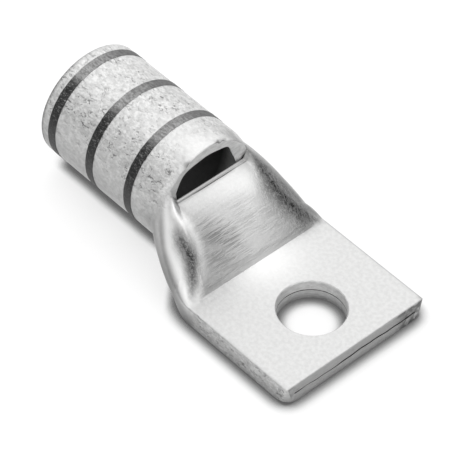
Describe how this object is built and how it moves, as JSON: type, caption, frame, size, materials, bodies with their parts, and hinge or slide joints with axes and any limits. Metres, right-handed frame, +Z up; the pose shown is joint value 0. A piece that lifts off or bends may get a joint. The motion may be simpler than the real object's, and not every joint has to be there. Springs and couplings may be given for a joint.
{
  "type": "compression lug",
  "caption": "One-hole compression lug: a round tube barrel with a sight slit, a pressed neck and a flat tongue with a stud hole.",
  "frame": {"origin": "under the middle of the lug's length and width, on the plane that the tongue's underside and the barrel rest on", "axes": "+X from the barrel's open mouth to the tongue's end, +Y across the tongue, +Z up from the tongue's underside"},
  "size_m": [0.0572, 0.0262, 0.0187],
  "materials": {
    "lug_body": "satin tin plate over copper, finely pitted, with worn dark ink bands round the barrel"
  },
  "bodies": {
    "root": {"lug_body": "lug_body"}
  },
  "joints": []
}
